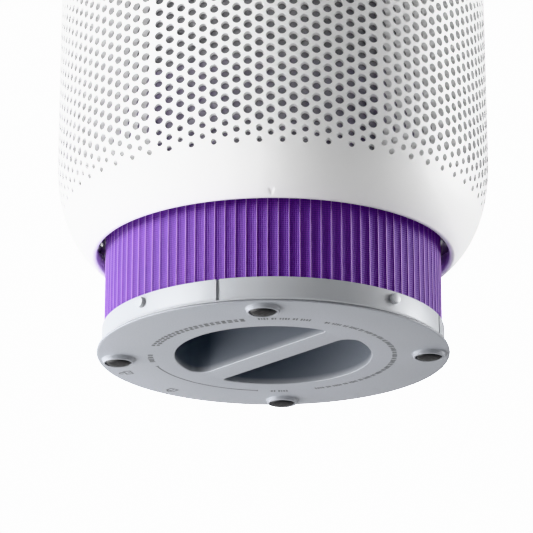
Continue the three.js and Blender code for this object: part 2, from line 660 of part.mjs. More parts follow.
function baseBand() {
  const bottom = BASE_THICKNESS + GAP;
  const ring = revolve([
    [LEDGE_INNER_R, bottom], [LAP_R + GAP, bottom], [LAP_R + GAP, RIM_TOP + GAP],
    [BASE_R - 0.2, RIM_TOP + GAP],
    ...arc(BASE_R - 0.2, RIM_TOP + GAP + 2.6, 2.3, 270, 180, 3),
    [BAND_R, BAND_TOP - 0.3], [BAND_R - 0.3, BAND_TOP], [BAND_INNER_R, BAND_TOP],
    [BAND_INNER_R, bottom + 1.4], [LEDGE_INNER_R, bottom + 1.4],
  ]);
  const pin = barX(PIN_R, BAND_INNER_R + 0.4, PIN_REACH, 12).translate(0, 0, PIN_HEIGHT);
  const slot = block([SLOT_FLOOR_R, BASE_R + 2], [-SLOT_HALF_WIDTH, SLOT_HALF_WIDTH],
    [bottom - 0.2, BAND_TOP + 1]);
  const boss = disc(3.6, bottom + 0.5, 5.7, FINE_ROUND).translate(FOOT_CIRCLE_R, 0, 0);
  const shankHole = disc(SCREW_HOLE_R, 0, 8, FINE_ROUND).translate(FOOT_CIRCLE_R, 0, 0);
  const body = join(ring, ...around(4, PIN_TURN, pin), ...around(4, 0, boss));
  return cut(body, ...around(4, SLOT_TURN, slot), ...around(4, 0, shankHole));
}

function footPad() {
  return revolve([
    [0, -FOOT_DROP], [5.6, -FOOT_DROP], [6.25, -2.5], [FOOT_R, -1.9], [FOOT_R, -0.7], [0, -0.7],
  ], SMALL_ROUND).translate(FOOT_CIRCLE_R, 0, 0);
}

function buildBase() {
  place(base, 'base_cover', baseCover(), BASE_GREY);
  place(base, 'base_band', baseBand(), BAND_WHITE);
  const sides = ['right', 'back', 'left', 'front'];
  around(4, 0, footPad()).forEach((geometry, i) =>
    place(base, `foot_pad_${sides[i]}`, geometry, RUBBER));
  const baseScrew = screw(2.7, 1.3, SCREW_SHANK_R, 4).rotateX(Math.PI)
    .translate(FOOT_CIRCLE_R, 0, 1.2);
  around(4, 0, baseScrew).forEach((geometry, i) =>
    place(base, `base_screw_${sides[i]}`, geometry, STEEL));
}

// ---- Filter ----

// A ring whose outer edge zigzags with the folds of the medium.
function media() {
  const folds = Array.from({ length: 2 * PLEATS }, (_, step) => {
    const radius = PLEAT_R - (step % 2) * PLEAT_DEPTH;
    return new THREE.Vector2(radius, 0)
      .rotateAround(new THREE.Vector2(), (step * Math.PI) / PLEATS);
  });
  const shape = new THREE.Shape(folds);
  shape.holes.push(new THREE.Path().absarc(0, 0, MEDIA_INNER_R, 0, Math.PI * 2, true));
  return turned(prism(shape, MEDIA_BOTTOM, MEDIA_TOP, INNER_ROUND / 2), MEDIA_TURN);
}

function core() {
  const wall = tube(CORE_BORE_R, CORE_R, MEDIA_BOTTOM, MEDIA_TOP, INNER_ROUND);
  const window = block([CORE_BORE_R - 15, CORE_R + 4], [-25, 25], [0, 48]);
  const rows = [20, 74].flatMap((z) => around(4, 0, window.clone().translate(0, 0, z)));
  return cut(wall, ...rows);
}

const topCap = () => revolve([
  [46, MEDIA_TOP + GAP], [PLEAT_R, MEDIA_TOP + GAP], [PLEAT_R + 0.2, MEDIA_TOP + 1],
  [PLEAT_R + 0.2, FILTER_CAP_TOP - 1], [PLEAT_R - 0.8, FILTER_CAP_TOP], [46, FILTER_CAP_TOP],
]);

function buildFilter() {
  place(cartridge, 'filter_media', media(), MEDIA);
  place(cartridge, 'carbon_sleeve', tube(CORE_R + GAP, SLEEVE_R, MEDIA_BOTTOM, MEDIA_TOP,
    INNER_ROUND), CARBON);
  place(cartridge, 'filter_core', core(), FILTER_CAP);
  place(cartridge, 'filter_bottom_cap', tube(CORE_BORE_R, BAND_INNER_R - 0.5, 6,
    MEDIA_BOTTOM - GAP), FILTER_CAP);
  place(cartridge, 'filter_top_cap', topCap(), FILTER_CAP);
  place(cartridge, 'filter_gasket', tube(64, 82, FILTER_CAP_TOP + GAP, GASKET_TOP), FOAM);
  place(cartridge, 'filter_tag', disc(6, FILTER_CAP_TOP + GAP, FILTER_CAP_TOP + 0.8, SMALL_ROUND)
    .translate(-55, 0, 0), BOARD);
}

buildCasing();
buildBulkhead();
buildFan();
buildTop();
buildElectronics();
buildBase();
buildFilter();

export default purifier;
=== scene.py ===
"""A tabletop air purifier whose filter cartridge is drawn out below its casing.

Shapes are worked out in millimetres in the shared frame and scaled to metres when a mesh is made.
"""

import json
import math

import bpy
import bmesh
from mathutils import Matrix, Vector
from mathutils.geometry import delaunay_2d_cdt


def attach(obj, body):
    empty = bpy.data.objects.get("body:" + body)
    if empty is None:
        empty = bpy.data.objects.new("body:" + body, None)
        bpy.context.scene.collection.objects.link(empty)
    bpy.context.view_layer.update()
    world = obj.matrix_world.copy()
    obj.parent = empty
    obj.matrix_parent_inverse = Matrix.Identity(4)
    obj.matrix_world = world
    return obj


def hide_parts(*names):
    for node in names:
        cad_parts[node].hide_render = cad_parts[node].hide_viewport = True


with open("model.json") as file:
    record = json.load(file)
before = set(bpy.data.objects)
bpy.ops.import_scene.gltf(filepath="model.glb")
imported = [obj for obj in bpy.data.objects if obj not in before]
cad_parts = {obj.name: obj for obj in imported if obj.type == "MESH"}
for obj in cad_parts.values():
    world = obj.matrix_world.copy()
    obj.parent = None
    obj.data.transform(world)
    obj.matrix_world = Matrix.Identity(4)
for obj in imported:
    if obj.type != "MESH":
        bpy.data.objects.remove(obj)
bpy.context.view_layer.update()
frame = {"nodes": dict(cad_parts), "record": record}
nodes = frame["nodes"]

MM = 0.001
LIP_Z = 53.8  # the casing's lip, which the casing's own heights start from
DISC_Z = 2.8  # the flat underside of the cartridge's base
BASE_TURN = -3.5  # how the base is turned in this pose

# ---- Camera ----

CAMERA_AT = (0.0, -1.3245, -0.4042)
CAMERA_PITCH = 18.94
CAMERA_YAW = 0.145
CAMERA_LENS = 187.1


def add_camera():
    camera = bpy.data.objects.new("camera", bpy.data.cameras.new("camera"))
    camera.data.lens = CAMERA_LENS
    camera.data.sensor_width = 36.0
    camera.data.clip_start, camera.data.clip_end = 0.05, 100.0
    camera.location = CAMERA_AT
    camera.rotation_euler = (math.radians(90 + CAMERA_PITCH), 0.0, math.radians(CAMERA_YAW))
    bpy.context.scene.collection.objects.link(camera)
    bpy.context.scene.camera = camera


# ---- Outlines ----


def rounded(corners, steps=4):
    """A closed outline from corners (x, y, radius), each turned into an arc of that radius."""
    outline = []
    for i, (x, y, radius) in enumerate(corners):
        corner = Vector((x, y))
        if not radius:
            outline.append(corner)
            continue
        back = (Vector(corners[i - 1][:2]) - corner).normalized()
        ahead = (Vector(corners[(i + 1) % len(corners)][:2]) - corner).normalized()
        half = back.angle(ahead) / 2
        reach = radius / math.tan(half)
        centre = corner + (back + ahead).normalized() * (radius / math.sin(half))
        first, last = corner + back * reach - centre, corner + ahead * reach - centre
        outline += [centre + first.slerp(last, k / steps) * radius for k in range(steps + 1)]
    return outline


def arc(cx, cy, radius, start, end, steps):
    """Points along an arc, from one angle to another in degrees."""
    angles = [math.radians(start + (end - start) * k / steps) for k in range(steps + 1)]
    return [Vector((cx + radius * math.cos(a), cy + radius * math.sin(a))) for a in angles]


# ---- Meshes ----


class Solid:
    """The points and faces of a piece while it is put together, in millimetres."""

    def __init__(self):
        self.points, self.faces = [], []

    def add(self, points, faces):
        start = len(self.points)
        self.points += [tuple(p) for p in points]
        self.faces += [tuple(start + i for i in face) for face in faces]
        return self

    def join(self, other):
        return self.add(other.points, other.faces)

    def flipped(self):
        self.faces = [face[::-1] for face in self.faces]
        return self

    def moved(self, matrix):
        self.points = [tuple(matrix @ Vector(p)) for p in self.points]
        return self


def shift(x=0.0, y=0.0, z=0.0):
    return Matrix.Translation((x, y, z))


def turn(degrees):
    return Matrix.Rotation(math.radians(degrees), 4, "Z")


def lathe(outline, steps=180, start=0.0, closed=True):
    """Spins an outline of (radius, height) about Z, anticlockwise with the axis on its left."""
    solid, rings = Solid(), []
    for k in range(steps):
        angle = math.radians(start + 360.0 * k / steps)
        c, s = math.cos(angle), math.sin(angle)
        rings.append([(r * c, r * s, z) for r, z in outline])
    index, points = {}, []
    for k, ring in enumerate(rings):
        for j, point in enumerate(ring):
            if outline[j][0] > 1e-9:
                index[k, j] = len(points)
                points.append(point)
            else:
                index[k, j] = index.get((0, j), len(points))
                if index[k, j] == len(points):
                    points.append((0.0, 0.0, point[2]))
    faces = []
    last = len(outline) if closed else len(outline) - 1
    for k in range(steps):
        n = (k + 1) % steps
        for j in range(last):
            m = (j + 1) % len(outline)
            face = [index[k, j], index[n, j], index[n, m], index[k, m]]
            face = [v for i, v in enumerate(face) if v != face[i - 1]]
            if len(face) > 2:
                faces.append(face)
    return solid.add(points, faces)


def swept(outline, start, end, steps):
    """The part of a lathed ring from one angle to another, closed at both ends."""
    points, count = [], len(outline)
    for k in range(steps + 1):
        angle = math.radians(start + (end - start) * k / steps)
        points += [(r * math.cos(angle), r * math.sin(angle), z) for r, z in outline]
    faces = [tuple(steps * count + j for j in range(count))[::-1], tuple(range(count))]
    for k in range(steps):
        for j in range(count):
            m = (j + 1) % count
            a, b = k * count, (k + 1) * count
            faces.append((a + j, b + j, b + m, a + m))
    return Solid().add(points, faces)


def stack(loops, cap_bottom=True, cap_top=True):
    """A solid through loops of equal count, each anticlockwise from above, lowest first."""
    count = len(loops[0])
    points = [p for loop in loops for p in loop]
    faces = []
    for k in range(len(loops) - 1):
        for j in range(count):
            m = (j + 1) % count
            a, b = k * count, (k + 1) * count
            faces.append((a + j, a + m, b + m, b + j))
    if cap_bottom:
        faces.append(tuple(range(count))[::-1])
    if cap_top:
        top = (len(loops) - 1) * count
        faces.append(tuple(top + j for j in range(count)))
    return Solid().add(points, faces)


def slab(outline, low, high, bevel=0.0):
    """An outline pulled from one height to another, with small bevels on its long edges."""
    if not bevel:
        return stack([[(x, y, z) for x, y in outline] for z in (low, high)])
    centre = sum((Vector(p) for p in outline), Vector((0, 0))) / len(outline)
    small = [p - (Vector(p) - centre).normalized() * bevel for p in map(Vector, outline)]
    levels = ((small, low), (outline, low + bevel), (outline, high - bevel), (small, high))
    return stack([[(x, y, z) for x, y in loop] for loop, z in levels])


TOUCHING = 1e-7  # points closer than this are one when a face is filled in
WELD = 1e-3  # points of one piece closer than this are one


def plate(outer, holes, height, faces_up):
    """A flat face inside an outline, open where its convex holes are. Points are (x, y)."""
    points, edges, owner = [], [], []
    for number, loop in enumerate([outer, *holes]):
        start = len(points)
        points += [Vector(p[:2]) for p in loop]
        owner += [number] * len(loop)
        edges += [(start + k, start + (k + 1) % len(loop)) for k in range(len(loop))]
    out, _, tris, origin, _, _ = delaunay_2d_cdt(points, edges, [], 0, TOUCHING)
    ids = [o[0] for o in origin]
    kept = []
    for tri in tris:
        owners = {owner[ids[v]] for v in tri}
        if len(owners) == 1 and 0 not in owners:
            continue
        kept.append(tuple(tri) if faces_up else tuple(tri)[::-1])
    return Solid().add([(p.x, p.y, height) for p in out], kept)


def make(name, solid, body, material, replaces=(), angle=35.0):
    """Turns a solid into a Blender piece that rides on a body."""
    mesh = bpy.data.meshes.new(name)
    mesh.from_pydata([[c * MM for c in p] for p in solid.points], [], solid.faces)
    mesh.materials.append(material)
    bm = bmesh.new()
    bm.from_mesh(mesh)
    bmesh.ops.remove_doubles(bm, verts=bm.verts, dist=WELD * MM)
    bm.to_mesh(mesh)
    bm.free()
    mesh.shade_smooth()
    mesh.set_sharp_from_angle(angle=math.radians(angle))
    piece = bpy.data.objects.new(name, mesh)
    bpy.context.scene.collection.objects.link(piece)
    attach(piece, body)
    if replaces:
        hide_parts(*replaces)
    return piece


# ---- Materials ----

PLEATS = 103
PLEAT_R = 84.7
THREAD_PITCH = 0.00105  # of the net's level threads
THREADS_PER_FOLD = 6  # the net's upright threads
MEDIA_DARK = (0.1, 0.045, 0.27, 1.0)
MEDIA_BRIGHT = (0.24, 0.075, 0.44, 1.0)
# painted highlight: the paler colour of the fold crests, against which the grooves read as shaded
MEDIA_CREST_HIGHLIGHT = (0.52, 0.31, 0.68, 1.0)
# painted shade: the colour that the insides of the base's finger pockets fade to, standing in for
# the shade that falls in them
POCKET_SHADE_COLOUR = (0.15, 0.165, 0.19, 1.0)
POCKET_SHADE_DEPTHS = (0.9, 3.5)  # depths between which the painted pocket shade comes in
NET_OPACITY = 0.32


def shader(name):
    material = bpy.data.materials.new(name)
    material.use_nodes = True
    tree = material.node_tree
    return material, tree, tree.nodes["Principled BSDF"]


def node(tree, kind, inputs=None, **settings):
    made = tree.nodes.new(kind)
    for key, value in settings.items():
        setattr(made, key, value)
    for key, value in (inputs or {}).items():
        if isinstance(value, bpy.types.NodeSocket):
            tree.links.new(value, made.inputs[key])
        else:
            made.inputs[key].default_value = value
    return made


def noise(tree, place, scale, detail=2.0, rough=0.5):
    return node(tree, "ShaderNodeTexNoise",
                {"Vector": place, "Scale": scale, "Detail": detail, "Roughness": rough}).outputs[0]


def spread(tree, value, low, high, source=(0.35, 0.65)):
    return node(tree, "ShaderNodeMapRange",
                {0: value, 1: source[0], 2: source[1], 3: low, 4: high}).outputs[0]


def blend_colours(tree, factor, first, second):
    mix = node(tree, "ShaderNodeMix", data_type="RGBA")
    for key, value in ((0, factor), (6, first), (7, second)):
        if isinstance(value, bpy.types.NodeSocket):
            tree.links.new(value, mix.inputs[key])
        else:
            mix.inputs[key].default_value = value
    return mix.outputs[2]


def tone(colour, scale):
    return tuple(min(1.0, c * scale) for c in colour) + (1.0,)


def object_place(tree):
    return node(tree, "ShaderNodeTexCoord").outputs["Object"]


def grained(tree, colour, grain, dark, light, speck):
    """An uneven tone with fine specks. Gives its colour and the texture of the specks."""
    place = object_place(tree)
    broad, fine = noise(tree, place, 14.0, 3.0), noise(tree, place, grain, 2.0)
    mottled = blend_colours(tree, spread(tree, broad, 0.0, 1.0), tone(colour, dark),
                            tone(colour, light))
    return blend_colours(tree, spread(tree, fine, 0.0, 0.35), mottled, tone(colour, speck)), fine


def surfaced(tree, surface, colour, rough, height, strength, depth, **settings):
    """Joins up a colour, a roughness, and a relief whose depth is in millimetres."""
    bump = node(tree, "ShaderNodeBump",
                {"Strength": strength, "Distance": depth * MM, "Height": height}, **settings)
    for key, value in (("Base Color", colour), ("Roughness", rough), ("Normal", bump.outputs[0])):
        tree.links.new(value, surface.inputs[key])


def moulded(name, colour, rough, grain=900.0, depth=0.04, uneven=0.03):
    """Moulded plastic or rubber: uneven tone and polish, and a fine moulded grain."""
    material, tree, surface = shader(name)
    speckled, fine = grained(tree, colour, grain, 1.0 - uneven, 1.0 + uneven * 0.4,
                             1.0 - 2.0 * uneven)
    surfaced(tree, surface, speckled, spread(tree, fine, rough - 0.05, rough + 0.05), fine, 0.5,
             depth)
    return material


def grained_with_pocket_shade(name, colour, rough):
    """The base's plastic: finely grained, with painted shade inside its pockets that comes in with
    depth.
    """
    material, tree, surface = shader(name)
    height = node(tree, "ShaderNodeSeparateXYZ", {0: object_place(tree)}).outputs[2]
    # painted shade: darker the deeper into a finger pocket
    inside = spread(tree, height, 0.0, 1.0, [(DISC_Z + depth) * MM for depth in POCKET_SHADE_DEPTHS])
    speckled, fine = grained(tree, colour, 1400.0, 0.98, 1.01, 0.95)
    surfaced(tree, surface, blend_colours(tree, inside, speckled, POCKET_SHADE_COLOUR),
             spread(tree, fine, rough - 0.05, rough + 0.05), fine, 0.5, 0.02)
    return material


def metal(name, colour, rough=0.3):
    """Plated or drawn metal with fine marks round its axis."""
    material, tree, surface = shader(name)
    place = object_place(tree)
    squeezed = node(tree, "ShaderNodeMapping", {"Vector": place, "Scale": (400.0, 400.0, 4000.0)})
    marks = noise(tree, squeezed.outputs[0], 1.0, 2.0)
    cloud = noise(tree, place, 90.0, 3.0)
    surface.inputs["Metallic"].default_value = 1.0
    surfaced(tree, surface, blend_colours(tree, spread(tree, cloud, 0.0, 1.0), tone(colour, 0.86),
                                          tone(colour, 1.04)),
             spread(tree, marks, rough - 0.08, rough + 0.12), marks, 0.3, 0.02)
    return material


def circuit(name):
    """Green solder mask over copper tracks."""
    material, tree, surface = shader(name)
    squares = node(tree, "ShaderNodeTexVoronoi", {"Vector": object_place(tree), "Scale": 260.0},
                   distance="MANHATTAN")
    tracks = spread(tree, squares.outputs[0], 0.0, 1.0, (0.35, 0.42))
    colour = blend_colours(tree, tracks, (0.015, 0.11, 0.045, 1), (0.035, 0.2, 0.085, 1))
    surfaced(tree, surface, colour, spread(tree, tracks, 0.28, 0.4, (0, 1)), tracks, 0.4, 0.05)
    return material


def winding(name):
    """Enamelled copper wire laid side by side."""
    material, tree, surface = shader(name)
    wave = node(tree, "ShaderNodeTexWave", {"Vector": object_place(tree), "Scale": 420.0,
                                            "Distortion": 1.5, "Detail": 1.0},
                bands_direction="Z").outputs[1]
    surface.inputs["Metallic"].default_value = 0.8
    surfaced(tree, surface, blend_colours(tree, wave, (0.22, 0.07, 0.02, 1), (0.62, 0.27, 0.1, 1)),
             spread(tree, wave, 0.45, 0.28, (0, 1)), wave, 0.7, 0.3)
    return material


def pleated_fibre(name):
    """Dyed fibre sheet under a net whose threads run level and upright, with a painted highlight
    along its fold crests.
    """
    material, tree, surface = shader(name)
    place = object_place(tree)
    xyz = node(tree, "ShaderNodeSeparateXYZ", {0: place})
    turned = node(tree, "ShaderNodeMath", {0: xyz.outputs[1], 1: xyz.outputs[0]},
                  operation="ARCTAN2")
    waves = []
    for value, rate in ((xyz.outputs[2], 2 * math.pi / THREAD_PITCH),
                        (turned.outputs[0], PLEATS * THREADS_PER_FOLD)):
        phase = node(tree, "ShaderNodeMath", {0: value, 1: rate}, operation="MULTIPLY")
        waves.append(node(tree, "ShaderNodeMath", {0: phase.outputs[0]}, operation="SINE"))
    net = node(tree, "ShaderNodeMath", {0: waves[0].outputs[0], 1: waves[1].outputs[0]},
               operation="ADD").outputs[0]
    fibres = noise(tree, place, 2600.0, 3.0, 0.6)
    cloud = noise(tree, place, 55.0, 3.0)
    flat = node(tree, "ShaderNodeMapping", {"Vector": place, "Scale": (1.0, 1.0, 0.0)})
    radius = node(tree, "ShaderNodeVectorMath", {0: flat.outputs[0]}, operation="LENGTH")
    # painted highlight: the outermost sliver of each fold crest is coloured paler, so the grooves
    # read as shaded
    crest = spread(tree, radius.outputs["Value"], 0.0, 1.0,
                   ((PLEAT_R - 0.16) * MM, (PLEAT_R - 0.02) * MM))
    body = blend_colours(tree, spread(tree, net, 0.0, 1.0, (-1.2, 1.8)), MEDIA_DARK, MEDIA_BRIGHT)
    uneven = blend_colours(tree, spread(tree, cloud, 0.0, 0.3), body, MEDIA_DARK)
    painted_crest_highlight = blend_colours(tree, crest, uneven, MEDIA_CREST_HIGHLIGHT)
    surface.inputs["Sheen Weight"].default_value = 0.08
    surface.inputs["Sheen Roughness"].default_value = 0.4
    both = node(tree, "ShaderNodeMath", {0: fibres, 1: 0.5, 2: net}, operation="MULTIPLY_ADD")
    surfaced(tree, surface, painted_crest_highlight, spread(tree, fibres, 0.55, 0.8), both.outputs[0], 0.8, 0.08)
    return material


def granular(name, low, high, scale, rough, depth):
    """Foam or carbon cloth: open cells or grains, with painted shade in the sunk gaps between them.
    """
    material, tree, surface = shader(name)
    place = object_place(tree)
    cells = node(tree, "ShaderNodeTexVoronoi", {"Vector": place, "Scale": scale}).outputs[0]
    cloud = noise(tree, place, scale * 0.2, 2.0)
    # painted shade: the gaps between cells are coloured darker
    base = blend_colours(tree, spread(tree, cells, 0.0, 1.0, (0.1, 0.6)), high, low)
    surfaced(tree, surface, blend_colours(tree, spread(tree, cloud, 0.0, 0.4), base, low),
             spread(tree, cells, rough, 1.0, (0, 0.7)), cells, 0.8, depth, invert=True)
    return material


WHITE = moulded("casing_white", (0.9, 0.9, 0.9), 0.42, grain=1500.0, depth=0.012, uneven=0.008)
# the base's grey plastic, with painted shade inside its finger pockets
BASE_GREY_POCKET_SHADED = grained_with_pocket_shade("base_grey", (0.315, 0.328, 0.356), 0.42)
BAND_WHITE = moulded("band_white", (0.46, 0.474, 0.495), 0.4, grain=1500.0, depth=0.012,
                     uneven=0.012)
RUBBER = moulded("rubber_black", (0.008, 0.008, 0.009), 0.42, grain=700.0, depth=0.02, uneven=0.1)
DARK = moulded("dark_plastic", (0.14, 0.14, 0.145), 0.5, grain=1000.0, depth=0.03, uneven=0.06)
FAN = moulded("fan_plastic", (0.085, 0.088, 0.093), 0.42, grain=1000.0, depth=0.02, uneven=0.05)
CAP = moulded("filter_cap", (0.16, 0.16, 0.18), 0.5, grain=900.0, depth=0.03, uneven=0.02)
COMPONENT = moulded("component_black", (0.03, 0.03, 0.032), 0.45, grain=1200.0, depth=0.03,
                    uneven=0.1)
BUTTON = moulded("button_grey", (0.66, 0.67, 0.69), 0.35, grain=1600.0, depth=0.01, uneven=0.015)
LENS = moulded("lens_black", (0.008, 0.008, 0.01), 0.08, grain=60.0, depth=0.004, uneven=0.05)
INK = moulded("print_grey", (0.12, 0.125, 0.13), 0.5, grain=2200.0, depth=0.01, uneven=0.12)
PALE_INK = moulded("print_white", (0.8, 0.82, 0.84), 0.4, grain=2200.0, depth=0.01, uneven=0.05)
NET = moulded("net_grey", (0.86, 0.86, 0.88), 0.6, grain=1600.0, depth=0.1, uneven=0.1)
NET.node_tree.nodes["Principled BSDF"].inputs["Alpha"].default_value = NET_OPACITY
STEEL = metal("steel", (0.62, 0.62, 0.64))
COPPER = winding("copper")
BOARD = circuit("circuit_board")
MEDIA = pleated_fibre("filter_purple")
CARBON = granular("carbon_black", (0.008, 0.008, 0.009, 1), (0.05, 0.05, 0.053, 1), 900.0, 0.8,
                  0.4)
FOAM = granular("foam_grey", (0.03, 0.03, 0.033, 1), (0.14, 0.14, 0.15, 1), 700.0, 0.85, 0.5)

SLOT_MATERIALS = {
    "casing_white": WHITE, "base_grey": BASE_GREY_POCKET_SHADED, "band_white": BAND_WHITE,
    "rubber_black": RUBBER, "filter_purple": MEDIA, "filter_cap": CAP, "foam_grey": FOAM,
    "carbon_black": CARBON, "dark_plastic": DARK, "fan_plastic": FAN, "steel": STEEL,
    "copper": COPPER, "circuit_board": BOARD, "component_black": COMPONENT,
    "lens_black": LENS, "button_grey": BUTTON,
}


def dress_cad_nodes():
    for part in frame["record"]["subparts"]:
        mesh = nodes[part["node"]].data
        mesh.materials.clear()
        mesh.materials.append(SLOT_MATERIALS[part["material_slot"]])


# ---- Casing ----

CASING_R = 110.0
CASING_TOP = 357.2
CASING_EDGE = 5.0  # radius of its upper edge
WALL = 2.4
CASING_STEPS = 120
SECTORS = 6  # the holes are moulded square to six faces of the tool
SECTOR_TURN = -2.0  # azimuth of the front sector's middle
SECTOR_STEPS = CASING_STEPS // SECTORS
COLUMNS = 20
COLUMN_PITCH = 5.43
FIRST_HOLES = (27.05, 23.9)  # height of the lowest hole in even and odd columns
HOLE_STEP = 6.22
END_STEPS = (5.25, 5.9)  # the holes shrink and close up at both ends of a column
END_RADII = (1.42, 1.68)
HOLE_R = 2.17
FULL_HOLES = 14  # full size holes in a column
HOLE_DRAFT = 0.15  # how much narrower a hole is inside
HOLE_SIDES = 16
PERFORATED = (12.5, 133.0)  # heights that the holes' mesh spans
LOW_ROWS = (1.7, 4)  # step and count of the rows of points between its lower edge and the holes
SIDE_ROWS = (8.5, 3.0, 38)  # first, step and count of the points up both sides of a sector
INLET = (11.6, 15.2, 26.8)  # half width, bottom and top of the opening for the power inlet
INLET_EDGE_STEPS = 8
INLET_CLEAR = (14.8, 31.0)  # no holes within this half width and below this height
LIP_INSIDE = ((91.0, 3.4), (90.7, 3.0), (89.3, 3.0), (89.0, 2.7), (89.0, 1.1), (89.3, 0.5),
              (89.9, 0.12))
LIP_FOOT = (90.6, 0.0)
LEAD_NOTCH = 1.6  # half angle of the ledge's notch for the mains lead
BULKHEAD_SCREW_R = 101.0
MARK_POINT, MARK_HEIGHT, MARK_HALF, MARK_DEPTH = 0.9, 2.6, 1.3, 0.35
MARK_CELL = 10  # the step of the lathed lip that the mark is in
MARK_STEPS = 12
NET_HEIGHTS = (20.0, 24.0, 28.0, 33.0, 38.0, 44.0, 50.0, 132.0)
NET_THICK = 0.2


def shoulder_curve(count=240):
    """The casing's outer and inner profile from the lip up to the straight wall."""
    p = [Vector(q) for q in ((91.2, 0.0), (98.2, 5.3), (CASING_R, 20.0), (CASING_R, 50.0))]
    outer, inner = [], []
    for k in range(count + 1):
        t = k / count
        s = 1 - t
        point = p[0] * s**3 + p[1] * 3 * s * s * t + p[2] * 3 * s * t * t + p[3] * t**3
        along = ((p[1] - p[0]) * s * s + (p[2] - p[1]) * 2 * s * t + (p[3] - p[2]) * t * t)
        along.normalize()
        outer.append(point)
        inner.append(point + Vector((-along.y, along.x)) * WALL)
    return outer, inner


OUTER_CURVE, INNER_CURVE = shoulder_curve()


def radius_at(curve, height):
    if height >= curve[-1].y:
        return curve[-1].x
    k = next(i for i, p in enumerate(curve) if p.y >= height)
    if k == 0:
        return curve[0].x
    a, b = curve[k - 1], curve[k]
    return a.x + (b.x - a.x) * (height - a.y) / (b.y - a.y)


def column_holes(parity):
    """Height and radius of each hole in a column, from the lowest up."""
    steps = [*END_STEPS, *[HOLE_STEP] * (FULL_HOLES - 1), *END_STEPS[::-1]]
    radii = [*END_RADII, *[HOLE_R] * FULL_HOLES, *END_RADII[::-1]]
    heights = [FIRST_HOLES[parity]]
    for step in steps:
        heights.append(heights[-1] + step)
    return zip(heights, radii)


def sector_holes(back):
    """Middle (u, height) and radius of each hole in a sector, seen along its draw direction."""
    holes = []
    for column in range(COLUMNS):
        for height, radius in column_holes(column % 2):
            edge = radius_at(INNER_CURVE, height - radius) / 2 - radius
            u = (column - (COLUMNS - 1) / 2) * COLUMN_PITCH
            u = max(-edge, min(edge, u))
            if back and abs(u) < INLET_CLEAR[0] and height < INLET_CLEAR[1]:
                continue
            holes.append((u, height, radius))
    return holes


def sector_mesh(turn_degrees, back):
    """One sixth of the perforated wall: both faces, and the walls of its holes."""
    draw = Vector((math.sin(turn_degrees), -math.cos(turn_degrees), 0))
    side = Vector((-draw.y, draw.x, 0))
    flat, edges, owner, outer, inner = [], [], [], [], []

    def by_angle(angle, height):
        r0, r1 = radius_at(OUTER_CURVE, height), radius_at(INNER_CURVE, height)
        flat.append(Vector((CASING_R * math.sin(angle), height)))
        owner.append(-1)
        for r, store in ((r0, outer), (r1, inner)):
            store.append(draw * r * math.cos(angle) + side * r * math.sin(angle)
                         + Vector((0, 0, height)))

    def drawn(u, height, number, draft=(0.0, 0.0)):
        r0 = radius_at(OUTER_CURVE, height)
        flat.append(Vector((u * CASING_R / r0, height)))
        owner.append(number)
        outer.append(draw * math.sqrt(r0 * r0 - u * u) + side * u + Vector((0, 0, height)))
        u, height = u - draft[0], height - draft[1]
        r1 = radius_at(INNER_CURVE, height)
        inner.append(draw * math.sqrt(r1 * r1 - u * u) + side * u + Vector((0, 0, height)))

    def ring_row(height, inset):
        for k in range(inset, SECTOR_STEPS + 1 - inset):
            angle = math.radians((k - SECTOR_STEPS // 2) * 360 // CASING_STEPS)
            if inset and back and abs(CASING_R * math.sin(angle)) < INLET[0] + 2.5:
                continue
            by_angle(angle, height)

    low, high = PERFORATED
    for height in (low, high):
        start = len(flat)
        ring_row(height, 0)
        edges.extend((k, k + 1) for k in range(start, len(flat) - 1))
    step, count = LOW_ROWS
    low_rows = [low + step * k for k in range(1, count + 1)]
    for height in low_rows:
        ring_row(height, 1)
    first, step, count = SIDE_ROWS
    levels = low_rows + [low + first + step * k for k in range(count)]
    for angle in (-math.pi / SECTORS, math.pi / SECTORS):
        for height in levels:
            by_angle(angle, height)
    loops = []
    for u, height, radius in sector_holes(back):
        start = len(flat)
        for k in range(HOLE_SIDES):
            a = 2 * math.pi * (k + 0.5) / HOLE_SIDES
            c, s = math.cos(a), math.sin(a)
            drawn(u + radius * c, height + radius * s, len(loops), (HOLE_DRAFT * c, HOLE_DRAFT * s))
        loops.append(range(start, len(flat)))
    if back:
        start = len(flat)
        half, bottom, top = INLET
        corners = [(-half, bottom), (half, bottom), (half, top), (-half, top)]
        for (x0, z0), (x1, z1) in zip(corners, corners[1:] + corners[:1]):
            for k in range(INLET_EDGE_STEPS):
                t = k / INLET_EDGE_STEPS
                drawn(x0 + (x1 - x0) * t, z0 + (z1 - z0) * t, len(loops))
        loops.append(range(start, len(flat)))
    for loop in loops:
        edges.extend((v, loop[(i + 1) % len(loop)]) for i, v in enumerate(loop))
    out, _, tris, origin, _, _ = delaunay_2d_cdt(flat, edges, [], 0, TOUCHING)
    ids = [o[0] for o in origin]
    count = len(flat)
    faces = []
    for tri in tris:
        tri = [ids[v] for v in tri]
        owners = {owner[v] for v in tri}
        if len(owners) == 1 and -1 not in owners:
            continue
        faces.append(tuple(tri))
        faces.append(tuple(v + count for v in tri[::-1]))
    for loop in loops:
        for i, v in enumerate(loop):
            w = loop[(i + 1) % len(loop)]
            faces.append((v, w, w + count, v + count))
    return Solid().add(outer + inner, faces)


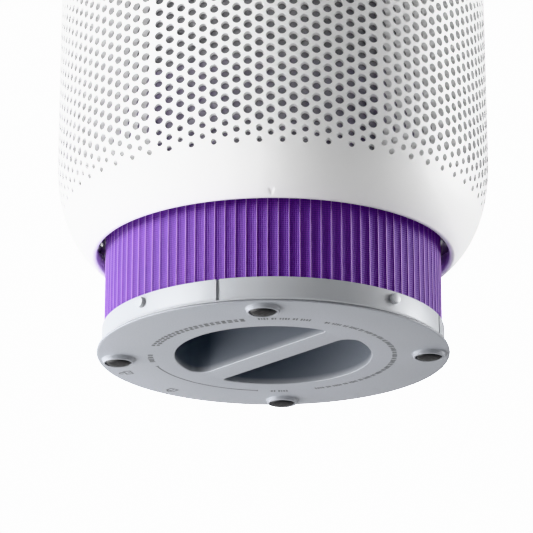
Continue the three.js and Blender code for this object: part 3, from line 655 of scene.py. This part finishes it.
def engrave_mark(solid, outline):
    """Dents one step of the lathed lip into a small arrowhead that shows where the base goes."""
    count = len(outline)
    rows = [j for j, (r, z) in enumerate(outline) if z < 5.0 and j > outline.index(LIP_FOOT)]
    gone = {MARK_CELL * (count - 1) + j for j in rows[:-1]}
    solid.faces = [face for i, face in enumerate(solid.faces) if i not in gone]
    points = []
    for j in rows:
        left, right = (Vector(solid.points[(MARK_CELL + side) * count + j]) for side in (0, 1))
        for k in range(MARK_STEPS + 1):
            point = left.lerp(right, k / MARK_STEPS)
            x, up = (k / MARK_STEPS - 0.5) * (right - left).length, point.z - MARK_POINT
            edge = min(up, MARK_HEIGHT - up, MARK_HALF * up / MARK_HEIGHT + 0.35 - abs(x))
            dent = MARK_DEPTH * max(0.0, min(1.0, edge / 0.4))
            points.append(point + Vector((-point.x, -point.y, 0)).normalized() * dent)
    faces = []
    for j in range(len(rows) - 1):
        for k in range(MARK_STEPS):
            a = j * (MARK_STEPS + 1) + k
            faces.append((a, a + 1, a + MARK_STEPS + 2, a + MARK_STEPS + 1))
    solid.add(points, faces)


def casing():
    solid = Solid()
    for k in range(SECTORS):
        solid.join(sector_mesh(math.radians(SECTOR_TURN + 60 * k), k == SECTORS // 2))
    low, high = PERFORATED
    ring_start = SECTOR_TURN - 120.0
    outer = [tuple(p) for p in OUTER_CURVE[2::4] if p.y < low - 0.6]
    inner = [p for p in INNER_CURVE[::10] if 4.2 < p.y < low - 0.6]
    lip = [(radius_at(INNER_CURVE, low), low), *inner[::-1], *LIP_INSIDE, LIP_FOOT, *outer,
           (radius_at(OUTER_CURVE, low), low)]
    ring = lathe(lip, CASING_STEPS, ring_start, closed=False)
    engrave_mark(ring, lip)
    solid.join(ring)
    edge = (CASING_R - CASING_EDGE, CASING_TOP - CASING_EDGE)
    inside = CASING_R - WALL
    top = [(CASING_R, high), (CASING_R, 200.0), (CASING_R, 280.0),
           *arc(*edge, CASING_EDGE, 0, 90, 8), (104.9, CASING_TOP), (104.6, CASING_TOP - 0.3),
           (104.6, CASING_TOP - WALL), *arc(*edge, CASING_EDGE - WALL, 90, 0, 5),
           (inside, 240.0), (inside, high)]
    solid.join(lathe(top, CASING_STEPS, ring_start, closed=False))
    ledge = rounded([(97.0, 136.2, 0.4), (107.9, 133.4, 0), (107.9, 138.4, 0), (97.0, 138.4, 0.4)])
    solid.join(swept(ledge, 90 + LEAD_NOTCH, 450 - LEAD_NOTCH, CASING_STEPS))
    boss = rounded([(1.5, 127.0, 0.3), (3.6, 127.0, 0.5), (3.6, 137.5, 0), (1.5, 137.5, 0)])
    for k in range(4):
        solid.join(lathe(boss, 24).moved(turn(45 + 90 * k) @ shift(x=BULKHEAD_SCREW_R)))
    solid.moved(shift(z=LIP_Z))
    make("casing_shell", solid, "upper_unit", WHITE, ["outer_casing"])


def intake_net():
    """A fine stiff net that lines the casing behind its holes, clear of the power inlet."""
    outer = [(radius_at(INNER_CURVE, z) - 0.5, z) for z in NET_HEIGHTS]
    split = INLET_CLEAR[1] + 2.0

    def sheet(edge):
        return edge + [(r - NET_THICK, z) for r, z in edge[::-1]]

    inlet = math.degrees(INLET_CLEAR[0] / CASING_R)
    solid = lathe(sheet([p for p in outer if p[1] >= split]), 180)
    solid.join(swept(sheet([p for p in outer if p[1] <= split]), 90 + inlet, 450 - inlet, 172))
    solid.moved(shift(z=LIP_Z))
    make("intake_net", solid, "upper_unit", NET)


RING_BOTTOM, RING_TOP = 3.3, 6.4
LUG_R = 86.8
PIN_R = 2.6
PIN_TURN = 46.0  # from the feet
LOCK_TURN = 28.0
STOP_WIDTH = 3.0
STOP_TURN = 1.98  # the angle that it takes up


def catch_ring():
    """A ring on the lip, with four lugs that the base's pins lock over and a stop on each."""
    solid = lathe(rounded([(89.0, RING_BOTTOM, 0.2), (90.9, RING_BOTTOM, 0.2),
                           (93.6, RING_TOP, 0.2), (89.0, RING_TOP, 0.3)]), 180)
    lug = rounded([(88.2, RING_BOTTOM, 0.2), (89.4, RING_BOTTOM, 0), (89.4, RING_TOP, 0),
                   (LUG_R, RING_TOP, 0.4), (LUG_R, 4.6, 0.3)], 3)
    stop = rounded([(87.0, 0.0, 0.4), (91.5, 0.0, 0.4), (91.5, STOP_WIDTH, 0.4),
                    (87.0, STOP_WIDTH, 0.4)], 3)
    first = math.degrees(2.8 / LUG_R)
    stop_at = math.degrees((PIN_R + 0.3) / LUG_R) + LOCK_TURN + 0.3
    for k in range(4):
        pin = BASE_TURN + PIN_TURN + 90 * k
        solid.join(swept(lug, pin + first, pin + stop_at + STOP_TURN, 16))
        solid.join(slab(stop, 5.4, 10.9, 0.3).moved(turn(pin + stop_at)))
    solid.moved(shift(z=LIP_Z))
    make("catch_lip", solid, "upper_unit", WHITE, ["catch_ring"])


# ---- Filter ----

MEDIA_Z = (13.6, 128.0)
MEDIA_TURN = -90.0 + 180.0 / PLEATS  # a groove faces the front
CREST = ((0.0, 0.0), (0.2, -0.05), (0.34, -0.24), (0.8, -0.44), (1.25, -0.58), (1.75, -0.67),
         (2.2, -0.73))  # one flank of a fold, as distance along and depth in millimetres
TROUGH = -0.75
FILTER_BORE_R = 59.0


def circle(radius, steps):
    angles = [2 * math.pi * k / steps for k in range(steps)]
    return [(radius * math.cos(a), radius * math.sin(a)) for a in angles]


def media():
    """A ring of folds under a net: narrow crests, with a rounded trough between each two."""
    outline = []
    flank = [(-along, depth) for along, depth in CREST[:0:-1]] + list(CREST)
    for k in range(PLEATS):
        middle = MEDIA_TURN + 360.0 * k / PLEATS
        points = [(math.degrees(along / PLEAT_R), depth) for along, depth in flank]
        for off, depth in points + [(180.0 / PLEATS, TROUGH)]:
            a = math.radians(middle + off)
            outline.append(((PLEAT_R + depth) * math.cos(a), (PLEAT_R + depth) * math.sin(a)))
    low, high = MEDIA_Z
    solid = stack([[(x, y, z) for x, y in outline] for z in (low, (low + high) / 2, high)],
                  False, False)
    bore = circle(FILTER_BORE_R, 120)
    wall = stack([[(x, y, z) for x, y in bore] for z in (low, high)], False, False)
    solid.join(wall.flipped())
    for z, up in ((low, False), (high, True)):
        solid.join(ring_face(outline, bore, z, up))
    solid.moved(shift(z=DISC_Z))
    make("filter_pleats", solid, "filter", MEDIA, ["filter_media"], angle=60)


def ring_face(outer, inner, height, faces_up):
    """A flat ring between an outline that may fold inward and a round bore."""
    points = [Vector(p) for p in [*outer, *inner]]
    a, b = len(outer), len(inner)
    edges = [(k, (k + 1) % a) for k in range(a)] + [(a + k, a + (k + 1) % b) for k in range(b)]
    out, _, tris, origin, _, _ = delaunay_2d_cdt(points, edges, [], 1, TOUCHING)
    faces = [tuple(t) if faces_up else tuple(t)[::-1] for t in tris
             if min(origin[v][0] for v in t) < a]
    return Solid().add([(p.x, p.y, height) for p in out], faces)


def filter_ends():
    top = rounded([(46.0, 128.3, 0.4), (84.7, 128.3, 0.3), (84.9, 129.0, 0), (84.9, 133.0, 0.9),
                   (46.0, 133.0, 0.6)])
    make("filter_crown", lathe(top, 160).moved(shift(z=DISC_Z)), "filter", CAP,
         ["filter_top_cap"])
    foam = rounded([(64.0, 133.3, 0.5), (82.0, 133.3, 0.5), (82.0, 138.0, 1.6),
                    (64.0, 138.0, 1.6)], 5)
    gasket = make("filter_seal", lathe(foam, 160).moved(shift(z=DISC_Z)), "filter",
                  FOAM, ["filter_gasket"])


# ---- Base of the cartridge ----

GRIP_R = 49.2
GRIP_HALF_BAR = 7.2
GRIP_TURN = -45.5
GRIP_SHARP = 2.5  # radii of a pocket's two corners
GRIP_BROAD = 7.0
GRIP_DEPTH = 22.0
GRIP_FILLET = 0.55
FLOOR_FILLET = 1.6
FACE_R = 87.1  # the flat underside's
LAP_R = 84.3  # radius of the base inside the band's skirt
COVER_THICK = 2.6
RIM = ((FACE_R, 0.0), (87.75, 0.05), (88.15, 0.22), (88.3, 0.5), (88.3, 0.65), (88.15, 0.8),
       (LAP_R, 0.8), (LAP_R, COVER_THICK))
FOOT_CIRCLE_R = 77.7
SCREW_HOLE_R = 1.6
FOOT_SEAT_R = 9.1
FOOT_SEAT = ((SCREW_HOLE_R, COVER_THICK), (SCREW_HOLE_R, 1.5), (3.1, 1.5), (3.1, -0.4),
             (6.8, -0.4), (6.8, -1.95), (6.95, -2.2), (7.35, -2.2), (7.65, -2.1), (7.85, -1.85),
             (8.1, -0.5), (8.3, -0.2), (8.7, -0.04), (FOOT_SEAT_R, 0.0))
FOOT_SIDES = 48


def pocket_loop(offset):
    """A finger pocket's outline, moved outward by an offset. It has the same count each time."""
    radius, half = GRIP_R + offset, GRIP_HALF_BAR - offset
    sharp, broad = GRIP_SHARP + offset, GRIP_BROAD + offset

    def corner(fillet, sign):
        y = half + fillet
        return Vector((sign * math.sqrt((radius - fillet) ** 2 - y * y), y))

    right, left = corner(broad, 1), corner(sharp, -1)
    to_right = math.degrees(math.atan2(right.y, right.x))
    to_left = math.degrees(math.atan2(left.y, left.x))
    loop = arc(right.x, right.y, broad, -90, to_right, 14)
    loop += arc(0, 0, radius, to_right, to_left, 48)[1:]
    loop += arc(left.x, left.y, sharp, to_left, 270, 10)[1:]
    first, last = loop[-1], loop[0]
    return loop + [first.lerp(last, k / 12) for k in range(1, 12)]


def grip_loops(side):
    """The pocket's loops at each (offset, height): its rim fillet, wall, and rounded floor."""
    levels = [(GRIP_FILLET * (1 - math.sin(a)), GRIP_FILLET * (1 - math.cos(a)))
              for a in (math.pi / 2 * k / 5 for k in range(6))]
    levels += [(-0.15, 8.0), (-0.3, 15.0)]
    levels += [(-0.4 - FLOOR_FILLET * (1 - math.cos(a)),
                GRIP_DEPTH - FLOOR_FILLET + FLOOR_FILLET * math.sin(a))
               for a in (math.pi / 2 * k / 4 for k in range(5))]
    spin = turn(GRIP_TURN + 180 * side)
    return [[spin @ Vector((p.x, p.y, z)) for p in pocket_loop(offset)] for offset, z in levels]


def base_cover():
    solid = lathe(RIM, closed=False)
    under, over = [], []
    for side in (0, 1):
        loops = grip_loops(side)
        solid.join(stack(loops, False, True).flipped())
        spin = turn(GRIP_TURN + 180 * side)
        shell = [[spin @ Vector((p.x, p.y, z)) for p in pocket_loop(offset)]
                 for offset, z in ((2.0, COVER_THICK), (2.0, 23.0), (1.2, 24.0))]
        solid.join(stack(shell, False, True))
        under.append([(p.x, p.y) for p in loops[0]])
        over.append([(p.x, p.y) for p in shell[0]])
    for k in range(4):
        place = turn(90 * k) @ shift(x=FOOT_CIRCLE_R)
        solid.join(lathe(FOOT_SEAT, FOOT_SIDES, closed=False).moved(place))
        for store, r in ((under, FOOT_SEAT_R), (over, SCREW_HOLE_R)):
            loop = [place @ Vector((x, y, 0)) for x, y in circle(r, FOOT_SIDES)]
            store.append([(p.x, p.y) for p in loop])
    solid.join(plate(circle(FACE_R, 180), under, 0.0, False))
    solid.join(plate(circle(LAP_R, 180), over, COVER_THICK, True))
    solid.moved(shift(z=DISC_Z) @ turn(BASE_TURN))
    make("base_plate", solid, "base", BASE_GREY_POCKET_SHADED, ["base_cover"])


BAND_BOTTOM = 2.9
SLOT_TURN = -14.3  # of the first slot from the first foot
SLOT_HALF_WIDTH = 0.85
SLOT_FLOOR_R = 84.6
PIN_REACH = 87.9
PIN_HEIGHT = 9.35


def base_band():
    bottom, inner = BAND_BOTTOM, 83.8
    skirt = [(LAP_R + 0.3, 1.1), (87.9, 1.1), (88.1, 1.3)]
    flare = arc(88.1, 3.75, 2.3, 270, 180, 8)
    low = [*skirt, *flare[:6], (LAP_R + 0.3, flare[5].y)]
    ledge = [(71.5, bottom), (80.0, bottom), (80.0, bottom + 1.4), (71.5, bottom + 1.4)]
    back = [(inner, bottom - 0.2), (SLOT_FLOOR_R, bottom - 0.2), (SLOT_FLOOR_R, 13.2),
            (inner, 13.2)]
    high = [(71.5, bottom), (LAP_R + 0.3, bottom), *skirt, *flare, (85.8, 12.9), (85.7, 13.2),
            (85.4, 13.3), (inner, 13.3), (inner, bottom + 1.4), (71.5, bottom + 1.4)]
    pin = [(0.0, 84.0), (PIN_R, 84.0), (PIN_R, PIN_REACH - 0.25), (PIN_R - 0.08, PIN_REACH - 0.08),
           (PIN_R - 0.25, PIN_REACH), (0.0, PIN_REACH)]
    boss = [(SCREW_HOLE_R, bottom + 0.5), (3.6, bottom + 0.5), (3.6, 5.5), (3.4, 5.7),
            (SCREW_HOLE_R, 5.7)]
    slot = math.degrees(SLOT_HALF_WIDTH / 85.9)
    outward = Matrix.Rotation(math.pi / 2, 4, "Y")
    solid = Solid()
    for k in range(4):
        first = SLOT_TURN + 90 * k
        solid.join(swept(high, first + slot, first + 90 - slot, 60))
        for outline in (low, ledge, back):
            solid.join(swept(outline, first - slot, first + slot, 4))
        place = turn(PIN_TURN + 90 * k) @ shift(z=PIN_HEIGHT)
        solid.join(lathe(pin, 32).moved(outward).moved(place))
        solid.join(lathe(boss, 24).moved(turn(90 * k) @ shift(x=FOOT_CIRCLE_R)))
    solid.moved(shift(z=DISC_Z) @ turn(BASE_TURN))
    make("base_ring", solid, "base", BAND_WHITE, ["base_band"])


def feet():
    pad = [(0.0, -2.8), (2.4, -2.78), (3.9, -2.68), (5.0, -2.48), (5.8, -2.15), (6.3, -1.7),
           (6.5, -1.2), (6.5, -0.75), (6.4, -0.7), (0.0, -0.7)]
    for k, side in enumerate(("right", "back", "left", "front")):
        solid = lathe(pad, 48)
        solid.moved(shift(z=DISC_Z) @ turn(BASE_TURN + 90 * k) @ shift(x=FOOT_CIRCLE_R))
        make(f"foot_{side}", solid, "base", RUBBER, [f"foot_pad_{side}"])


# ---- Print on the base ----

INK_HEIGHTS = (DISC_Z - 0.04, DISC_Z + 0.3)
FINE_BARS = (0.8, 1.0, 0.7, 0.9, 0, 0, 0.8, 1.1, 0, 0)
BROAD_BARS = (2.3, 1.9, 2.4, 2.0)
SHARES = (1.0, 0.8, 0.9)  # how much of a line's width its bars take up, in turn
PRINTED_LINES = (  # radius, first and last angle, bars, width, gap
    (61.4, 83.0, 93.4, FINE_BARS, 3.0, 0.5),
    (61.4, 171.0, 184.5, FINE_BARS, 3.0, 0.5),
    (61.4, -73.0, -98.0, FINE_BARS, 3.0, 0.5),
    (60.7, 69.0, -69.0, FINE_BARS, 2.7, 0.5),
    (59.8, -103.0, -165.0, BROAD_BARS, 1.9, 1.0),
    (62.0, -103.0, -165.0, BROAD_BARS, 1.9, 1.0),
)
TRACK = (60.6, 61.4, 97.8, 164.0)  # radii and ends of the arc line between the lock signs
LOCK_SIGN_R = 80.0


def bar(radius, angle, length, width):
    """A short printed bar along the circle of a radius, centred on an angle in degrees."""
    x, y, corner = length / 2, width / 2, min(length, width) * 0.25
    outline = rounded([(-x, -y, corner), (x, -y, corner), (x, y, corner), (-x, y, corner)], 2)
    return slab(outline, *INK_HEIGHTS).moved(turn(angle - 90) @ shift(y=radius))


def printed_line(radius, start, end, pattern, width, gap):
    """Bars of repeating lengths along a circle, in place of a line of lettering.

    A length of zero in the pattern leaves a wider gap, like the one between words.
    """
    solid, way = Solid(), 1 if end > start else -1
    angle, k = start, 0
    while abs(end - angle) > math.degrees(2.0 / radius):
        length = pattern[k % len(pattern)]
        half = way * math.degrees(length / 2 / radius)
        if length:
            solid.join(bar(radius, angle + half, length, width * SHARES[k % 3]))
        angle += 2 * half + way * math.degrees(gap / radius)
        k += 1
    return solid


def padlock(radius, angle, opened):
    """A thin outline of a padlock, its shackle closed, or raised and swung to one side."""
    low, high = INK_HEIGHTS
    line = 0.7
    solid = Solid()

    def stroke(x0, x1, y0, y1):
        solid.join(slab([(x0, y0), (x1, y0), (x1, y1), (x0, y1)], low, high))

    stroke(-2.7, 2.7, -3.2, -3.2 + line)
    stroke(-2.7, 2.7, 0.3, 0.3 + line)
    for x in (-2.7, 2.7 - line):
        stroke(x, x + line, -3.2 + line, 0.3)
    stroke(-line / 2, line / 2, -2.1, -1.0)
    lift = 1.0 if opened else 0.0
    ring = [(1.5 - line, low), (1.5, low), (1.5, high), (1.5 - line, high)]
    solid.join(swept(ring, 0, 180, 16).moved(shift(y=1.6 + lift)))
    stroke(-1.5, -1.5 + line, 0.3 + line, 1.6 + lift)
    stroke(1.5 - line, 1.5, 1.0 + lift if opened else 0.3 + line, 1.6 + lift)
    return solid.moved(turn(angle - 90) @ shift(y=radius))


def base_print():
    low, high = INK_HEIGHTS
    inner, outer, start, end = TRACK
    solid = swept([(inner, low), (outer, low), (outer, high), (inner, high)], start, end, 40)
    tick = [(60.0, -0.25), (61.9, -0.25), (61.9, 0.25), (60.0, 0.25)]
    for angle in (start, end):
        solid.join(slab(tick, low, high).moved(turn(angle)))
    for line in PRINTED_LINES:
        solid.join(printed_line(*line))
    make("base_print", solid, "base", INK)
    signs = padlock(LOCK_SIGN_R, 159.3, True).join(padlock(LOCK_SIGN_R, 131.6, False))
    make("lock_signs", signs, "base", INK)


# ---- Top ----

DECK_TOP = 355.2
GRILLE_HEIGHTS = (349.5, 354.2)
GRILLE_RIMS = ((38.3, 40.3), (64.0, 65.4), (89.4, 91.2))
GRILLE_RINGS = (44.2, 49.1, 54.0, 58.9, 69.3, 74.2, 79.1, 84.0)  # inner radii of the thin rings
FINS = 14
DOT_SIZES = (0.55, 0.7, 0.85, 1.0, 1.15)


def fin_bar(outline, low, high):
    """A long thin bar with rounded long edges."""
    narrow = [(x, y * 0.55) for x, y in outline]
    levels = ((narrow, low), (outline, low + 0.4), (outline, high - 0.4), (narrow, high))
    return stack([[(x, y, z) for x, y in loop] for loop, z in levels])


def make_top(name, solid, material, replaces=(), body="upper_unit"):
    make(name, solid.moved(shift(z=LIP_Z)), body, material, replaces)


def deck_and_grille():
    deck = rounded([(91.6, 350.0, 0.3), (104.2, 350.0, 0.3), (104.2, 353.0, 0.4),
                    (103.2, DECK_TOP, 0.7), (93.6, DECK_TOP, 0.9), (91.6, 353.6, 0.6)])
    make_top("top_rim", lathe(deck, 180), WHITE, ["top_deck"])

    low, high = GRILLE_HEIGHTS
    grille = Solid()
    for inner, outer, top in (*((*rim, high) for rim in GRILLE_RIMS),
                              *((r, r + 1.0, high - 1.2) for r in GRILLE_RINGS)):
        edge = rounded([(inner, low, 0.3), (outer, low, 0.3), (outer, top, 0.4),
                        (inner, top, 0.4)], 3)
        grille.join(lathe(edge, 120))
    fin = rounded([(39.3, -0.7, 0.2), (90.6, -0.7, 0.2), (90.6, 0.7, 0.2), (39.3, 0.7, 0.2)], 2)
    for k in range(FINS):
        grille.join(fin_bar(fin, low, high).moved(turn(360 * k / FINS)))
    make_top("outlet_bars", grille, WHITE, ["outlet_grille"])


def display():
    cup = rounded([(37.9, 343.0, 1.0), (37.9, 354.4, 0.5), (35.9, 354.4, 0.3),
                   (35.9, 345.0, 0.5), (0.0, 345.0, 0), (0.0, 343.0, 0)])
    pod = lathe(cup, 120)
    post = [(0.0, 344.5), (2.0, 344.5), (2.0, 346.5), (1.8, 346.7), (0.0, 346.7)]
    for k in range(3):
        pod.join(lathe(post, 24).moved(turn(30 + 120 * k) @ shift(x=24.0)))
    make_top("display_cup", pod, WHITE, ["display_pod"])

    glass = rounded([(8.2, 354.7, 0.1), (37.5, 354.7, 0.2), (37.5, 356.0, 0.3),
                     (36.7, 356.8, 0.5), (8.2, 356.8, 0.3)])
    make_top("display_window", lathe(glass, 120), LENS, ["display_lens"])
    signs = Solid()
    for k, size in enumerate(DOT_SIZES):
        dot = lathe([(0.0, 356.7), (size, 356.7), (size, 356.83), (0.0, 356.83)], 20)
        signs.join(dot.moved(turn(-114 + 12 * k) @ shift(x=24.0)))
    make_top("display_signs", signs, PALE_INK)


def button():
    crown = [(0.0, 352.6), (9.4, 352.6), (9.6, 352.8), (9.6, 354.0), (9.4, 354.2),
             (7.8, 354.2), (7.8, 356.5), (7.7, 356.8), (7.4, 357.0), (6.8, 357.08),
             (3.5, 356.95), (0.0, 356.9)]
    make_top("mode_key", lathe(crown, 64), BUTTON, ["mode_button"], "button")
    sign = swept([(2.3, 356.8), (2.8, 356.8), (2.8, 357.1), (2.3, 357.1)], 120, 420, 32)
    sign.join(slab([(-0.25, 1.2), (0.25, 1.2), (0.25, 3.3), (-0.25, 3.3)], 356.8, 357.1))
    make_top("power_sign", sign, INK, body="button")


# ---- Room ----

FLOOR_HALF = 30000.0
FLOOR_Z = -1.5  # in metres, well below the object
FLOOR_TONE = 0.78
LOBES = (  # azimuth, strength, sharpness: tall soft strips of light round the object
    (-67.0, 27.0, 40.0),
    (105.0, 22.0, 40.0),
    (-165.0, 1.5, 8.0),
)
LOBE_FALL = 8.0  # how fast a strip fades towards overhead
SKY = 0.06
BACKDROP = 5.0
LAMP_AT = (-0.36, 0.08, -0.24)
LAMP_SIZE = 0.6
LAMP_POWER = 3.9


def add_floor():
    mesh = bpy.data.meshes.new("floor")
    half = FLOOR_HALF * MM
    mesh.from_pydata([(-half, -half, 0), (half, -half, 0), (half, half, 0), (-half, half, 0)], [],
                     [(0, 1, 2, 3)])
    floor = bpy.data.objects.new("floor", mesh)
    floor.location.z = FLOOR_Z
    material, tree, surface = shader("floor")
    cloud = noise(tree, object_place(tree), 0.6, 2.0)
    tree.links.new(blend_colours(tree, cloud, (FLOOR_TONE,) * 3 + (1,),
                                 (FLOOR_TONE * 0.97,) * 3 + (1,)), surface.inputs["Base Color"])
    surface.inputs["Roughness"].default_value = 0.9
    surface.inputs["Specular IOR Level"].default_value = 0.1
    mesh.materials.append(material)
    bpy.context.scene.collection.objects.link(floor)


def add_world():
    world = bpy.data.worlds.new("studio")
    bpy.context.scene.world = world
    world.use_nodes = True
    tree = world.node_tree
    tree.nodes.clear()

    def vector(operation, *values):
        return node(tree, "ShaderNodeVectorMath", dict(enumerate(values)), operation=operation)

    def maths(operation, *values):
        return node(tree, "ShaderNodeMath", dict(enumerate(values)), operation=operation).outputs[0]

    place = node(tree, "ShaderNodeTexCoord").outputs["Generated"]
    level = vector("MULTIPLY", place, (1.0, 1.0, 0.0)).outputs[0]
    reach = vector("LENGTH", level).outputs["Value"]
    heading = vector("NORMALIZE", level).outputs[0]
    total = 0.0
    for azimuth, strength, sharpness in LOBES:
        a = math.radians(azimuth)
        facing = vector("DOT_PRODUCT", heading, (math.sin(a), -math.cos(a), 0.0)).outputs["Value"]
        lobe = maths("POWER", maths("MAXIMUM", facing, 0.0), sharpness)
        total = maths("MULTIPLY_ADD", lobe, strength, total)
    light = maths("MULTIPLY_ADD", total, maths("POWER", reach, LOBE_FALL), SKY)
    lit = node(tree, "ShaderNodeBackground", {"Color": (1, 1, 1, 1), "Strength": light})
    seen = node(tree, "ShaderNodeBackground", {"Color": (1, 1, 1, 1), "Strength": BACKDROP})
    path = node(tree, "ShaderNodeLightPath")
    mix = node(tree, "ShaderNodeMixShader", {0: path.outputs["Is Camera Ray"],
                                             1: lit.outputs[0], 2: seen.outputs[0]})
    node(tree, "ShaderNodeOutputWorld", {0: mix.outputs[0]})
    world.cycles.sampling_method = "MANUAL"
    world.cycles.sample_map_resolution = 512


def add_low_light():
    """A soft lamp low on the left, close enough for its light to fade across the base."""
    lamp = bpy.data.lights.new("low_lamp", "AREA")
    lamp.shape = "DISK"
    lamp.size = LAMP_SIZE
    lamp.energy = LAMP_POWER
    holder = bpy.data.objects.new("low_lamp", lamp)
    holder.location = LAMP_AT
    holder.rotation_euler = Vector(LAMP_AT).to_track_quat("Z", "Y").to_euler()
    holder.visible_camera = False
    bpy.context.scene.collection.objects.link(holder)


add_camera()
add_world()
add_low_light()
add_floor()
bpy.context.scene.view_settings.view_transform = "Khronos PBR Neutral"
dress_cad_nodes()
casing()
intake_net()
catch_ring()
media()
filter_ends()
base_cover()
base_band()
feet()
base_print()
deck_and_grille()
display()
button()
